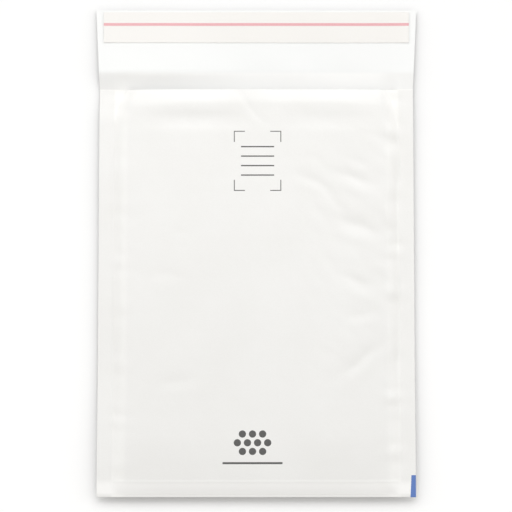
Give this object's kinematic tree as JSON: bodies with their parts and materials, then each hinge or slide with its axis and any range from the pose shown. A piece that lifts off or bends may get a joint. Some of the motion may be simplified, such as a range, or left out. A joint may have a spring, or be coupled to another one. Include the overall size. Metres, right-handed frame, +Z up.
{
  "type": "padded envelope",
  "caption": "Flat white paper envelope padded inside with folded bubble film, sealed down both sides, open at the mouth, with a long flap and a peel-off adhesive strip.",
  "frame": {"origin": "middle of the bounding box on the table that the envelope lies on", "axes": "+X to the right across the envelope, +Y from the bottom fold to the flap, +Z up from the table through the near panel"},
  "size_m": [0.204, 0.31, 0.0111],
  "materials": {
    "paper": "matte white kraft paper, with a small blue mark printed at one lower edge",
    "bubble_film": "clear polyethylene film with air bubbles",
    "adhesive": "tacky, pale cream",
    "liner": "smooth coated paper, slightly beige, with one red line"
  },
  "bodies": {
    "root": {"paper_envelope": "paper", "bubble_lining": "bubble_film", "adhesive_strip": "adhesive", "release_liner": "liner"}
  },
  "joints": []
}
